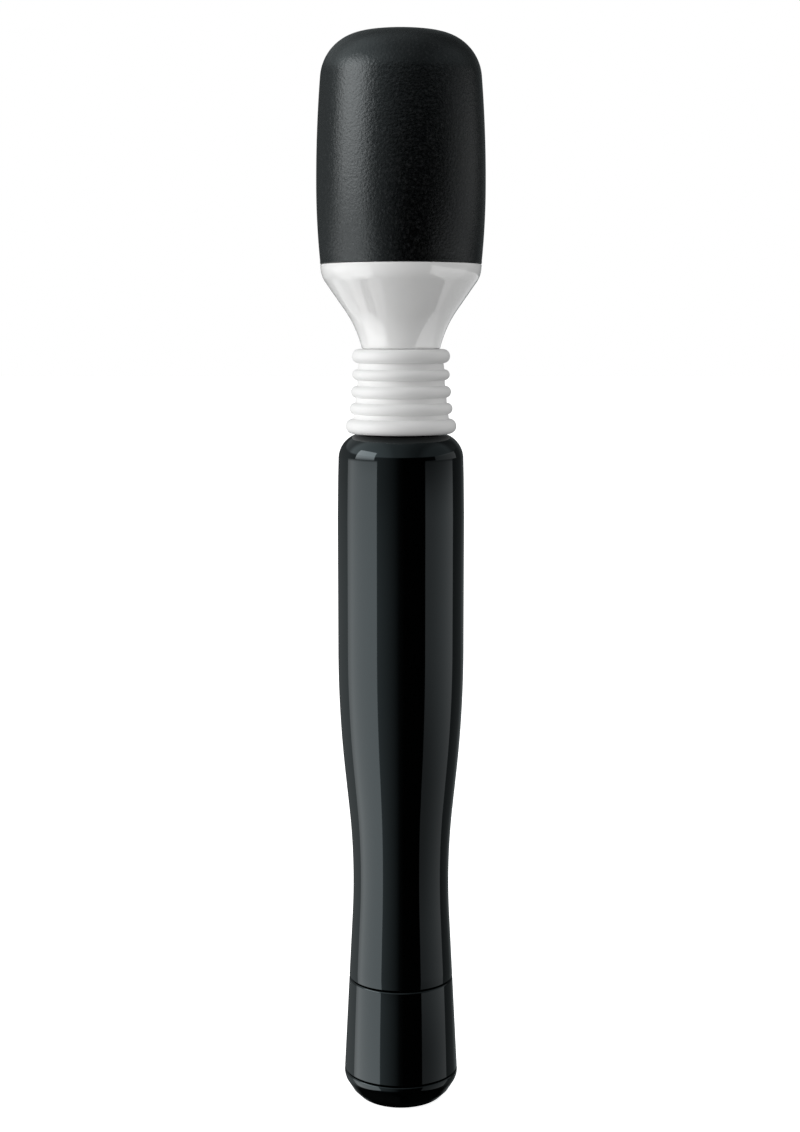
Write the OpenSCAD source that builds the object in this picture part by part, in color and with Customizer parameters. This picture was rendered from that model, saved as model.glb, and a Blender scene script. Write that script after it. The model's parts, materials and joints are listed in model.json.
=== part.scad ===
// Battery-powered hand massager of the wand pattern: a smooth hourglass handle, a ribbed
// flexible neck and a rounded head with a spinning eccentric weight inside.
// It stands on its flat foot at the origin with its long axis along +Z. Millimetres.

/* [Overall] */
// Height of the flat top of the handle's shoulder, under the neck
handle_top = 137.3; // [130:0.1:145]
// Height of the parting between handle and speed dial
dial_seam_z = 25.6; // [25:0.1:28]
// Height of the groove between speed dial and foot
foot_seam_z = 6; // [5.6:0.05:6.6]
// Width of an open parting between two mouldings
seam = 0.3; // [0.2:0.05:0.5]

/* [Handle] */
// Radius of the straight barrel
barrel_r = 12.7; // [11:0.1:15]
// Lower end of the straight barrel
barrel_z0 = 94; // [85:1:100]
// Upper end of the straight barrel
barrel_z1 = 121; // [110:1:126]
// Radius at the waist
waist_r = 9.78; // [9.5:0.01:11]
// Height of the waist
waist_z = 46.2; // [40:0.1:52]
// Steepest flank angle above the waist
swell_angle = 5.94; // [4:0.01:8]
// Radius of the long convex sweep into the barrel
swell_sweep = 240; // [150:1:260]
// Radius of the long concave sweep through the waist
waist_sweep = 142; // [100:1:200]
// Flank angle of the flare below the waist
flare_angle = 2.95; // [2:0.05:4]
// Rounding of the shoulder
shoulder_round = 5.15; // [3:0.05:6]
// Height by which the flat top cuts the shoulder's round short
shoulder_cut = 0.45; // [0:0.05:1]

/* [Foot] */
// Radius of the flat the wand stands on
foot_flat_r = 7.4; // [6:0.1:8]
// Radius of the edge between the foot's two bevels
foot_edge_r = 10; // [9.4:0.1:10.5]
// Height of that edge
foot_edge_z = 1.8; // [1.2:0.1:2.2]
// Height at which the upper bevel meets the foot's side
foot_bevel_z = 4.55; // [3.5:0.05:4.8]

/* [Neck] */
// Bore of the elastomer neck where it grips the two spigots
neck_grip_r = 7.55; // [7:0.05:8]
// Bore of the neck in its flexing middle
neck_flex_r = 6.7; // [6:0.05:7.3]

/* [Head] */
// Height of the parting between collar and cover
head_seam_z = 171; // [170:0.1:173]
// Height of the crown
crown_z = 216; // [215:0.1:225]
// Greatest radius of the barrelled cover
head_r = 16.66; // [15:0.01:18]
// Height of the greatest radius
head_belly_z = 186; // [180:1:195]
// Cover and collar wall
head_wall = 2; // [1.5:0.1:3]

/* [Cells] */
// Radius of a size AA cell without its jacket
cell_r = 7; // [6.9:0.05:7.1]
// Length of a size AA cell with its terminal
cell_length = 50.5; // [50:0.1:50.5]

/* [Hidden] */
round_fn = 96;
fine_fn = 48;
running = 0.06;
sliding = 0.08;
seat = 0.05;
edge = 0.2;
edge_round = 0.45;

// Long sweeps of the head's side, below and above the belly
head_low_sweep = 150;
head_high_sweep = 260;
crown_sweep = 50;
crown_corner = 9;

// Flexible neck, bottom rib first
rib_z = [139.1, 142.58, 145.9, 149.28, 152.97];
rib_r = [11.08, 10.3, 10, 9.71, 9.76];
rib_half = [1.48, 1.15, 1.2, 1.08, 1.4];
groove_r = [9.45, 9.1, 8.75, 8.45];
neck_foot_z = handle_top + seam;
neck_end_z = rib_z[4] + rib_half[4];
collar_z = neck_end_z + 0.1;

// Dial cap: a deep cup that plugs into the handle
core_r = 8.5;
core_bore_r = 7.35;
core_foot_z = 7;
core_floor_z0 = 8.1;
core_floor_z1 = 9.6;
core_top_z = 39.9;
core_flange_r = 9.3;
core_flange_z = 24.1;
stop_z0 = 22.6;
stop_r = 9.3;
stop_width = 44;
clip_z0 = 8.3;
clip_z1 = 9.1;
clip_groove_r = 7.95;
clip_r = 9.2;
ring_z0 = 34.6;
ring_z1 = 35.6;
ring_groove_r = 8.12;
key_w = 2;
key_r = 9.2;
key_top_z = 31.5;
dial_z0 = foot_seam_z + seam / 2;
dial_z1 = dial_seam_z - seam / 2;
shell_z0 = dial_seam_z + seam / 2;
foot_z1 = foot_seam_z - seam / 2;
foot_collar_r = 10;
foot_collar_z = 8;
plate_z = 9.62;
plate_t = 0.23;
track_z0 = 7.2;
track_z1 = 7.9;

// Cells and what holds them
cell_z = [13.2, 63.8];
nub_r = 2.7;
nub_h = 1.4;
tube_r = 8.5;
tube_bore_r = 7.5;
tube_z0 = 40.8;
tube_z1 = 118;
tube_ledge_z = 114.4;
board_z0 = 115;
board_z1 = 116.4;
strip_w = 3;
strip_t = 0.25;
strip_r = 8.12;
anchor_z0 = 118.3;

// Neck joint hardware
spigot_bore_r = 4.8;
spigot_r = 7.45;
spigot_z0 = 150.4;
wire_bore_r = 3.6;
lead_x = 2.6;
lead_r = 0.45;
spring_r = 4;
spring_wire_r = 0.45;
spring_z0 = 138.95;
spring_z1 = 153.05;

// Motor and its weight
cradle_z = 168;
cradle_floor_z = 169.6;
screw_r = 7.4;
can_r = 10;
can_flat = 8.4;
can_wall = 0.5;
can_z0 = 175;
can_z1 = 199;
bell_z0 = 172.8;
shaft_r = 1;
shaft_z0 = 173.1;
shaft_z1 = 211;
weight_z0 = 202.2;
weight_z1 = 210.2;
weight_r = 10;
magnet_z0 = 179;
magnet_z1 = 195;
magnet_r = 7.75;
arm_z0 = 180.5;
arm_z1 = 193.5;
arm_r = 7.3;
comm_z0 = 176.4;
comm_z1 = 180.2;
comm_r = 2.4;
terminal_x = 4.2;
pad_x = 3.3;
boss_z0 = 160.4;
boss_r = 1.9;

// Colours
black_gloss = [0.03, 0.033, 0.036];
black_soft = [0.05, 0.05, 0.052];
black_inner = [0.09, 0.09, 0.095];
white_gloss = [0.9, 0.9, 0.89];
white_soft = [0.86, 0.86, 0.85];
steel = [0.72, 0.73, 0.75];
spring_steel = [0.6, 0.61, 0.63];
brass = [0.82, 0.65, 0.33];
copper = [0.72, 0.4, 0.25];
board_green = [0.12, 0.3, 0.2];
jacket_blue = [0.12, 0.25, 0.5];
magnet_grey = [0.2, 0.2, 0.22];
lead_red_rgb = [0.7, 0.08, 0.07];
lead_black_rgb = [0.05, 0.05, 0.05];
ring_black = [0.04, 0.04, 0.04];

// ---- shared helpers ----

function arc(c, r, a0, a1, n) =
    [for (i = [0:n]) [c[0] + r * cos(a0 + (a1 - a0) * i / n), c[1] + r * sin(a0 + (a1 - a0) * i / n)]];

// Crossing of two circles, the one to the right of the line from the first centre to the second
function crossing(c1, r1, c2, r2) =
    let (
        d = norm(c2 - c1),
        u = (c2 - c1) / d,
        along = (d * d + r1 * r1 - r2 * r2) / (2 * d),
        out = sqrt(r1 * r1 - along * along)
    )
    c1 + along * u + out * [u[1], -u[0]];

function angle_to(c, p) = atan2(p[1] - c[1], p[0] - c[0]);

// Radius of the flared lower flank at height z
flare_z = waist_z - waist_sweep * sin(flare_angle);
flare_r = waist_r + waist_sweep * (1 - cos(flare_angle));
function flank(z) = flare_r + (flare_z - z) * tan(flare_angle);

// Lower outer edge of a moulding, broken by a small bevel
function broken(r, z) = [[r - edge, z], [r, z + edge]];

// Upper outer edge of a moulding, rounded over
function rounded(r, z) = arc([r - edge_round, z - edge_round], edge_round, 0, 90, 4);

module lathe(points) {
    rotate_extrude($fn = round_fn) {
        polygon(points);
    }
}

// Spring wire: a round section swept along a helix whose radius runs from r0 to r1
module coil(r0, r1, z0, z1, turns, wire, steps, sides) {
    total = turns * steps;
    path = [
        for (i = [0:total])
            let (t = i / total, a = 360 * turns * t, r = r0 + (r1 - r0) * t)
            [a, r, z0 + (z1 - z0) * t]
    ];
    points = [
        for (p = path)
            for (k = [0:sides - 1])
                let (b = 360 * k / sides, r = p[1] + wire * cos(b))
                [r * cos(p[0]), r * sin(p[0]), p[2] + wire * sin(b)]
    ];
    walls = [
        for (i = [0:total - 1])
            for (k = [0:sides - 1])
                [
                    i * sides + k,
                    (i + 1) * sides + k,
                    (i + 1) * sides + (k + 1) % sides,
                    i * sides + (k + 1) % sides
                ]
    ];
    start = [for (k = [0:sides - 1]) k];
    finish = [for (k = [0:sides - 1]) total * sides + sides - 1 - k];
    polyhedron(concat(points), concat(walls, [start], [finish]), convexity = 10);
}

// Part of a ring, centred on +X and as wide as the angle
module sector(r0, r1, z0, z1, angle) {
    reach = 2 * r1;
    intersection() {
        translate([0, 0, z0]) {
            difference() {
                cylinder(h = z1 - z0, r = r1, $fn = round_fn);
                translate([0, 0, -1]) {
                    cylinder(h = z1 - z0 + 2, r = r0, $fn = round_fn);
                }
            }
        }
        translate([0, 0, z0 - 1]) {
            linear_extrude(z1 - z0 + 2) {
                polygon([
                    [0, 0],
                    [reach * cos(angle / 2), -reach * sin(angle / 2)],
                    [reach * cos(angle / 2), reach * sin(angle / 2)]
                ]);
            }
        }
    }
}

// Long strip bent in the plane x = 0, standing at +Y
module strip(points) {
    rotate([90, 0, 90]) {
        translate([0, 0, -strip_w / 2]) {
            linear_extrude(strip_w) {
                polygon(points);
            }
        }
    }
}

// ---- handle ----

// The barrel narrows by 0.2 on its way from barrel_z1 to the shoulder's round
function handle_outside() =
    let (
        round_c = [barrel_r - 0.2 - shoulder_round, handle_top + shoulder_cut - shoulder_round],
        round_end = asin(1 - shoulder_cut / shoulder_round)
    )
    concat(
        broken(flank(shell_z0), shell_z0),
        arc([waist_r + waist_sweep, waist_z], waist_sweep, 180 + flare_angle, 180 - swell_angle, 14),
        arc([barrel_r - swell_sweep, barrel_z0], swell_sweep, -swell_angle, 0, 9),
        [[barrel_r, barrel_z1], [barrel_r - 0.1, barrel_z1 + 8]],
        arc(round_c, shoulder_round, 0, round_end, 10)
    );

module handle_shell() {
    bore = core_r + sliding;
    color(black_gloss) {
        difference() {
            lathe(concat(
                handle_outside(),
                [
                    [7.6, handle_top],
                    [7.6, 134.6],
                    [9.3, 134.6],
                    [10.45, 133.2],
                    [10.45, barrel_z0],
                    [9.65, 74],
                    [bore, 63],
                    [bore, shell_z0]
                ]
            ));
            for (side = [0, 180]) {
                rotate(side) {
                    translate([core_bore_r, -key_w / 2 - 0.1, shell_z0 - 1]) {
                        cube([key_r + 0.1 - core_bore_r, key_w + 0.2, key_top_z + 1.3 - shell_z0]);
                    }
                }
            }
        }
    }
}

module battery_tube() {
    color(black_inner) {
        difference() {
            lathe([
                [tube_bore_r, tube_z0],
                [tube_r, tube_z0],
                [tube_r, tube_z1],
                [tube_bore_r, tube_z1],
                [tube_bore_r, board_z0 - seat],
                [6.4, board_z0 - seat],
                [6.4, tube_ledge_z],
                [tube_bore_r, tube_ledge_z - 0.9]
            ]);
            translate([-strip_w / 2 - 0.1, strip_r - seat, tube_z0 - 1]) {
                cube([strip_w + 0.2, 1, tube_z1 - tube_z0 + 2]);
            }
            translate([-strip_w / 2 - 0.1, 6, board_z1]) {
                cube([strip_w + 0.2, 3, 2]);
            }
        }
    }
}

module contact_board() {
    color(board_green) {
        difference() {
            translate([0, 0, board_z0]) {
                cylinder(h = board_z1 - board_z0, r = tube_bore_r - 0.1, $fn = round_fn);
            }
            translate([0, 0, board_z0 - 1]) {
                cylinder(h = 4, r = 0.9 + seat, $fn = fine_fn);
            }
        }
    }
}

module top_contact() {
    color(brass) {
        lathe([
            [0, tube_ledge_z],
            [2.4, tube_ledge_z],
            [3.2, board_z0 - 0.2],
            [3.2, board_z0 - seat],
            [0.9, board_z0 - seat],
            [0.9, board_z1 + seat],
            [1.6, board_z1 + seat],
            [1.4, board_z1 + 0.5],
            [0, board_z1 + 0.6]
        ]);
    }
}

module return_strip() {
    bottom = tube_z0 - 0.5;
    top = board_z1 + 0.2;
    color(brass) {
        strip([
            [core_bore_r + 0.1, bottom],
            [strip_r + strip_t, bottom],
            [strip_r + strip_t, top + strip_t],
            [4.4, top + strip_t],
            [4.4, top],
            [strip_r, top],
            [strip_r, bottom + strip_t],
            [core_bore_r + 0.1, bottom + strip_t]
        ]);
    }
}

module neck_anchor() {
    barb = neck_grip_r - 0.1;
    color(black_inner) {
        lathe([
            [5.2, anchor_z0],
            [tube_r - 0.1, anchor_z0],
            [tube_r - 0.1, 134.4],
            [7.5, 134.4],
            [7.5, handle_top],
            [7.1, handle_top + 0.4],
            [7.1, 138.2],
            [barb, 138.5],
            [7.1, 139.8],
            [barb, 140.1],
            [6.9, 141.6],
            [spigot_bore_r, 141.6],
            [spigot_bore_r, 138.4],
            [wire_bore_r, 138.4],
            [wire_bore_r, 136],
            [5.2, 134.4]
        ]);
    }
}

// ---- cells ----

module cell_can(z) {
    body = cell_length - nub_h;
    color(steel) {
        lathe([
            [0, z + 0.2],
            [5.2, z + 0.2],
            [5.4, z],
            [cell_r - 0.5, z],
            [cell_r, z + 0.5],
            [cell_r, z + body - 0.5],
            [cell_r - 0.5, z + body],
            [nub_r, z + body],
            [nub_r, z + cell_length - 0.3],
            [nub_r - 0.3, z + cell_length],
            [0, z + cell_length]
        ]);
    }
}

module cell_jacket(z) {
    inner = cell_r + 0.02;
    color(jacket_blue) {
        translate([0, 0, z + 0.6]) {
            difference() {
                cylinder(h = cell_length - nub_h - 1.2, r = inner + 0.1, $fn = round_fn);
                translate([0, 0, -1]) {
                    cylinder(h = cell_length, r = inner, $fn = round_fn);
                }
            }
        }
    }
}

module cell_lower_can() {
    cell_can(cell_z[0]);
}

module cell_lower_jacket() {
    cell_jacket(cell_z[0]);
}

module cell_upper_can() {
    cell_can(cell_z[1]);
}

module cell_upper_jacket() {
    cell_jacket(cell_z[1]);
}

// ---- flexible neck ----

// Angle at which a rib's round leaves a groove of radius g
function rib_start(i, g) = acos(max(0, min(1, (g - rib_r[i] + rib_half[i]) / rib_half[i])));

function rib(i) =
    let (
        below = i == 0 ? 90 : rib_start(i, groove_r[i - 1]),
        above = i == 4 ? 90 : rib_start(i, groove_r[i])
    )
    arc([rib_r[i] - rib_half[i], rib_z[i]], rib_half[i], -below, above, 8);

module neck_bellows() {
    color(white_soft) {
        lathe(concat(
            [[neck_grip_r, neck_foot_z]],
            [for (i = [0:4]) for (p = rib(i)) p],
            [
                [neck_grip_r, neck_end_z],
                [neck_grip_r, 150],
                [neck_flex_r, 149.2],
                [neck_flex_r, 142.8],
                [neck_grip_r, 142]
            ]
        ));
    }
}

module neck_spring() {
    color(spring_steel) {
        coil(spring_r, spring_r, spring_z0, spring_z1, 10, spring_wire_r, 24, 8);
    }
}

module lead(side, rgb) {
    color(rgb) {
        translate([side * lead_x, 0, board_z1 + 0.7]) {
            cylinder(h = cradle_floor_z - board_z1 - 0.7, r = lead_r, $fn = fine_fn);
        }
    }
}

module lead_red() {
    lead(1, lead_red_rgb);
}

module lead_black() {
    lead(-1, lead_black_rgb);
}

// ---- head ----

// Right-hand outline of the cover, set in from the outside by t, from height z0 to the crown
function cover_line(t, z0) =
    let (
        low = [head_r - head_low_sweep, head_belly_z],
        high = [head_r - head_high_sweep, head_belly_z],
        crown = [0, crown_z - crown_sweep],
        corner = crossing(
            crown, crown_sweep - crown_corner, high, head_high_sweep - crown_corner
        ),
        a_low = asin((z0 - head_belly_z) / (head_low_sweep - t)),
        a_side = angle_to(high, corner),
        a_top = angle_to(crown, corner)
    )
    concat(
        arc(low, head_low_sweep - t, a_low, 0, 6),
        arc(high, head_high_sweep - t, a_side / 7, a_side, 6),
        arc(corner, crown_corner - t, a_side + 8, a_top, 10),
        arc(crown, crown_sweep - t, a_top + 6, 90, 5)
    );

function reversed(v) = [for (i = [len(v) - 1:-1:0]) v[i]];

module head_cover() {
    color(black_soft) {
        lathe(concat(
            [[14.05, head_seam_z + seat]],
            cover_line(0, head_seam_z + seat),
            reversed(cover_line(head_wall, 176)),
            [[14.05, 174.5]]
        ));
    }
}

function collar_outside() = concat(
    [[spigot_r, collar_z - 0.1], [7.72, collar_z]],
    arc([29.92, 149.1], 22.8, 166.3, 146.5, 6),
    [[15.2, 168.05]],
    arc([15, 168.9], 0.9, -25, 0, 3),
    [[15.95, head_seam_z - seat]]
);

module head_collar() {
    color(white_gloss) {
        difference() {
            union() {
                lathe(concat(
                    [[spigot_bore_r, spigot_z0], [6.9, spigot_z0], [spigot_r, 151.6], [7.1, 151.9], [spigot_r, 153]],
                    collar_outside(),
                    [
                        [13.95, head_seam_z - seat],
                        [13.95, 173.2],
                        [13.7, 173.5],
                        [12.5, 173.5],
                        [12.5, 168.3],
                        [6.1, 157.6],
                        [wire_bore_r, 155.6],
                        [wire_bore_r, 153.6],
                        [spigot_bore_r, 153.6]
                    ]
                ));
                for (a = [30:120:270]) {
                    rotate(a) {
                        translate([screw_r, 0, boss_z0]) {
                            cylinder(h = cradle_z - seat - boss_z0, r = boss_r, $fn = fine_fn);
                        }
                    }
                }
            }
            for (a = [30:120:270]) {
                rotate(a) {
                    translate([screw_r, 0, boss_z0 + 1]) {
                        cylinder(h = 10, r = 0.84, $fn = fine_fn);
                    }
                }
            }
        }
    }
}

module motor_cradle() {
    color(black_inner) {
        difference() {
            lathe([
                [4, cradle_z],
                [11.8, cradle_z],
                [11.8, 180],
                [can_r + 0.1, 180],
                [can_r + 0.1, bell_z0 - seat],
                [9.5, bell_z0 - seat],
                [9.5, cradle_floor_z],
                [4, cradle_floor_z]
            ]);
            for (a = [30:120:270]) {
                rotate(a) {
                    translate([screw_r, 0, cradle_z - 1]) {
                        cylinder(h = 3, r = 0.9, $fn = fine_fn);
                    }
                }
            }
        }
    }
}

module cradle_screws() {
    head_z = cradle_floor_z + seat;
    color(steel) {
        for (a = [30:120:270]) {
            rotate(a) {
                translate([screw_r, 0, 0]) {
                    difference() {
                        lathe([
                            [0, boss_z0 + 1.4],
                            [0.8, boss_z0 + 2.2],
                            [0.8, head_z],
                            [1.5, head_z],
                            [1.5, head_z + 0.6],
                            [1.1, head_z + 1],
                            [0, head_z + 1.1]
                        ]);
                        for (turn = [0, 90]) {
                            rotate(turn) {
                                translate([-0.8, -0.15, head_z + 0.5]) {
                                    cube([1.6, 0.3, 2]);
                                }
                            }
                        }
                    }
                }
            }
        }
    }
}

// Round motor body with a flat on either side
module flatted(r, flat, z0, z1) {
    intersection() {
        translate([0, 0, z0]) {
            cylinder(h = z1 - z0, r = r, $fn = round_fn);
        }
        translate([-r - 1, -flat, z0 - 1]) {
            cube([2 * r + 2, 2 * flat, z1 - z0 + 2]);
        }
    }
}

module motor_can() {
    color(steel) {
        difference() {
            union() {
                flatted(can_r, can_flat, can_z0, can_z1);
                translate([0, 0, can_z1 - 0.5]) {
                    cylinder(h = 1.9, r = 3.2, $fn = fine_fn);
                }
            }
            flatted(can_r - can_wall, can_flat - can_wall, can_z0 - 1, can_z1 - can_wall);
            translate([0, 0, can_z1 - 2]) {
                cylinder(h = 5, r = 2.55, $fn = fine_fn);
            }
        }
    }
}

module motor_magnets() {
    outer = can_r - can_wall - 0.1;
    color(magnet_grey) {
        intersection() {
            translate([0, 0, magnet_z0]) {
                difference() {
                    cylinder(h = magnet_z1 - magnet_z0, r = outer, $fn = round_fn);
                    translate([0, 0, -1]) {
                        cylinder(h = magnet_z1 - magnet_z0 + 2, r = magnet_r, $fn = round_fn);
                    }
                }
            }
            translate([-can_r, -5.5, magnet_z0 - 1]) {
                cube([2 * can_r, 11, magnet_z1 - magnet_z0 + 2]);
            }
        }
    }
}

module motor_end_bell() {
    color(white_soft) {
        difference() {
            union() {
                flatted(can_r, can_flat, bell_z0, can_z0 - seat);
                translate([0, 0, can_z0 - 0.2]) {
                    cylinder(h = 1, r = 7.6, $fn = round_fn);
                }
            }
            translate([0, 0, bell_z0 - 1]) {
                cylinder(h = 6, r = 2.05, $fn = fine_fn);
            }
            for (side = [-1, 1]) {
                translate([side * terminal_x - 0.2, -1.1, bell_z0 - 1]) {
                    cube([0.4, 2.2, 5]);
                }
            }
        }
    }
}

module motor_terminals() {
    color(brass) {
        for (side = [-1, 1]) {
            translate([side * terminal_x - 0.15, -1, 170.6]) {
                cube([0.3, 2, 6.6]);
            }
            translate([side * pad_x - 1.05, -1, 170.35]) {
                cube([2.1, 2, 0.3]);
            }
        }
    }
}

module motor_bushes() {
    color(brass) {
        for (z = [bell_z0 + 0.2, can_z1 - 0.6]) {
            translate([0, 0, z]) {
                difference() {
                    cylinder(h = 2, r = z < can_z0 ? 2 : 2.5, $fn = fine_fn);
                    translate([0, 0, -1]) {
                        cylinder(h = 4, r = shaft_r + running, $fn = fine_fn);
                    }
                }
            }
        }
    }
}

// ---- rotor ----

module motor_shaft() {
    color(steel) {
        translate([0, 0, shaft_z0]) {
            cylinder(h = shaft_z1 - shaft_z0, r = shaft_r, $fn = fine_fn);
        }
    }
}

module armature() {
    bore_z = arm_z0 - 0.5;
    bore_h = arm_z1 - arm_z0 + 1;
    color(copper) {
        difference() {
            translate([0, 0, arm_z0]) {
                cylinder(h = arm_z1 - arm_z0, r = arm_r, $fn = round_fn);
            }
            translate([0, 0, bore_z]) {
                cylinder(h = bore_h, r = shaft_r + 0.02, $fn = fine_fn);
            }
            for (a = [0, 120, 240]) {
                rotate(a) {
                    translate([3.4, -0.6, bore_z]) {
                        cube([5, 1.2, bore_h]);
                    }
                    translate([4.4, 0, bore_z]) {
                        cylinder(h = bore_h, r = 1.6, $fn = fine_fn);
                    }
                }
            }
        }
    }
}

module commutator() {
    color(copper) {
        difference() {
            translate([0, 0, comm_z0]) {
                cylinder(h = comm_z1 - comm_z0, r = comm_r, $fn = fine_fn);
            }
            translate([0, 0, comm_z0 - 1]) {
                cylinder(h = comm_z1 - comm_z0 + 2, r = shaft_r + 0.02, $fn = fine_fn);
            }
            for (a = [60, 180, 300]) {
                rotate(a) {
                    translate([comm_r - 0.5, -0.12, comm_z0 - 1]) {
                        cube([1, 0.24, comm_z1 - comm_z0 + 2]);
                    }
                }
            }
        }
    }
}

module eccentric_weight() {
    color(spring_steel) {
        difference() {
            union() {
                intersection() {
                    translate([0, 0, weight_z0]) {
                        cylinder(h = weight_z1 - weight_z0, r = weight_r, $fn = round_fn);
                    }
                    translate([-weight_r, 0.6, weight_z0 - 1]) {
                        cube([2 * weight_r, weight_r, 12]);
                    }
                }
                translate([0, 0, weight_z0]) {
                    cylinder(h = weight_z1 - weight_z0, r = 3, $fn = fine_fn);
                }
            }
            translate([0, 0, weight_z0 - 1]) {
                cylinder(h = 12, r = shaft_r + 0.02, $fn = fine_fn);
            }
            translate([0, 0, (weight_z0 + weight_z1) / 2]) {
                rotate([90, 0, 0]) {
                    cylinder(h = 5, r = 0.82, $fn = fine_fn);
                }
            }
        }
    }
}

module weight_screw() {
    color(black_soft) {
        translate([0, -shaft_r - seat, (weight_z0 + weight_z1) / 2]) {
            rotate([90, 0, 0]) {
                difference() {
                    cylinder(h = 2, r = 0.8, $fn = fine_fn);
                    translate([0, 0, 1.2]) {
                        cylinder(h = 1, r = 0.4, $fn = 6);
                    }
                }
            }
        }
    }
}

// ---- cap that closes the handle ----

module cap_core() {
    slot_r = core_bore_r + 0.34;
    color(black_inner) {
        difference() {
            union() {
                lathe([
                    [0, core_floor_z0],
                    [7.75, core_floor_z0],
                    [7.75, core_foot_z],
                    [core_r, core_foot_z],
                    [core_r, clip_z0],
                    [clip_groove_r, clip_z0],
                    [clip_groove_r, clip_z1],
                    [core_r, clip_z1],
                    [core_r, core_flange_z],
                    [core_flange_r, core_flange_z],
                    [core_flange_r, dial_z1],
                    [core_r, dial_z1],
                    [core_r, ring_z0],
                    [ring_groove_r, ring_z0],
                    [ring_groove_r, ring_z1],
                    [core_r, ring_z1],
                    [core_r, core_top_z - 0.4],
                    [core_r - 0.3, core_top_z],
                    [core_bore_r, core_top_z],
                    [core_bore_r, core_floor_z1],
                    [0, core_floor_z1]
                ]);
                for (side = [0, 180]) {
                    rotate(side) {
                        translate([core_r - 0.4, -key_w / 2, dial_z1 - 0.5]) {
                            cube([key_r - core_r + 0.4, key_w, key_top_z - dial_z1 + 0.5]);
                        }
                    }
                }
                sector(core_r - 0.4, stop_r - 0.1, stop_z0 + seam, core_flange_z + 0.2, stop_width);
            }
            translate([-strip_w / 2 - 0.1, core_bore_r - 1, core_foot_z]) {
                cube([strip_w + 0.2, slot_r - core_bore_r + 1, core_top_z]);
            }
            translate([0, 0, core_foot_z]) {
                cylinder(h = 4, r = 0.9, $fn = fine_fn);
            }
        }
    }
}

module seal_ring() {
    inner = ring_groove_r + 0.03;
    color(ring_black) {
        lathe([
            [inner, ring_z0 + 0.1],
            [core_r - 0.1, ring_z0 + 0.1],
            [core_r + 0.05, ring_z0 + 0.3],
            [core_r + 0.05, ring_z1 - 0.3],
            [core_r - 0.1, ring_z1 - 0.1],
            [inner, ring_z1 - 0.1]
        ]);
    }
}

module retaining_clip() {
    color(spring_steel) {
        difference() {
            translate([0, 0, clip_z0 + seat]) {
                cylinder(h = clip_z1 - clip_z0 - 2 * seat, r = clip_r, $fn = round_fn);
            }
            translate([0, 0, clip_z0 - 1]) {
                cylinder(h = 3, r = clip_groove_r + seat, $fn = round_fn);
            }
            translate([-2.5, -clip_r - 1, clip_z0 - 1]) {
                cube([5, clip_r, 3]);
            }
        }
    }
}

module spring_plate() {
    color(brass) {
        lathe([
            [0, track_z0 - 0.3],
            [1.2, track_z0 - 0.3],
            [1.4, track_z0 - seat],
            [0.8, track_z0 - seat],
            [0.8, plate_z],
            [6, plate_z],
            [6, plate_z + plate_t],
            [0, plate_z + plate_t]
        ]);
    }
}

module contact_spring() {
    color(spring_steel) {
        coil(5.2, 3, plate_z + plate_t + 0.33, cell_z[0] - 0.4, 3.5, 0.3, 24, 8);
    }
}

module track_disc() {
    color(board_green) {
        difference() {
            translate([0, 0, track_z0]) {
                cylinder(h = track_z1 - track_z0, r = 7.65, $fn = round_fn);
            }
            translate([0, 0, track_z0 - 1]) {
                cylinder(h = 3, r = 0.86, $fn = fine_fn);
            }
        }
    }
}

module cap_strip() {
    face = core_bore_r + 0.06;
    color(brass) {
        strip([
            [face, track_z1 + 0.05],
            [face + strip_t, track_z1 + 0.05],
            [face + strip_t, core_top_z + seat],
            [core_r - 0.15, core_top_z + seat],
            [core_r - 0.15, core_top_z + seat + 0.2],
            [face, core_top_z + seat + 0.2]
        ]);
    }
}

// ---- speed dial ----

// Its lug meets the core's lug at either end of the dial's travel
module dial_sleeve() {
    land = core_r + running;
    land_z = core_flange_z - seam;
    mouth = core_flange_r + 0.3;
    color(black_gloss) {
        lathe(concat(
            [[foot_collar_r + seat, dial_z0]],
            broken(flank(dial_z0), dial_z0),
            rounded(flank(dial_z1), dial_z1),
            [
                [mouth, dial_z1],
                [mouth, land_z],
                [stop_r, land_z],
                [stop_r, stop_z0],
                [land, stop_z0],
                [land, 21],
                [9.4, 20],
                [9.4, 13.5],
                [land, 12.5],
                [land, clip_z1 + seam],
                [foot_collar_r + seat, clip_z1 + seam]
            ]
        ));
        rotate(stop_width + 1) {
            sector(land + 0.04, stop_r + 0.2, stop_z0 - 0.2, land_z - seat, stop_width);
        }
    }
}

// Side of the foot: the flat, two bevels with softened edges, then the flank up to the groove
function foot_outside() =
    let (side_r = flank(foot_bevel_z))
    concat(
        [[foot_flat_r, 0], [foot_flat_r + 0.7, 0.25]],
        [[foot_edge_r - 0.1, foot_edge_z - 0.12], [foot_edge_r + 0.07, foot_edge_z + 0.1]],
        [[side_r - 0.4, foot_bevel_z - 0.67], [side_r - 0.16, foot_bevel_z - 0.12]],
        [[side_r - 0.06, foot_bevel_z + 0.45]],
        rounded(flank(foot_z1), foot_z1)
    );

module dial_foot() {
    color(black_gloss) {
        lathe(concat(
            [[0, 0]],
            foot_outside(),
            [
                [foot_collar_r, foot_z1],
                [foot_collar_r, foot_collar_z],
                [core_r + 0.4, foot_collar_z],
                [core_r + 0.4, 3.4],
                [7.6, 2.2],
                [2.5, 2.2],
                [2.5, 5.8],
                [0, 5.8]
            ]
        ));
    }
}

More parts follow.
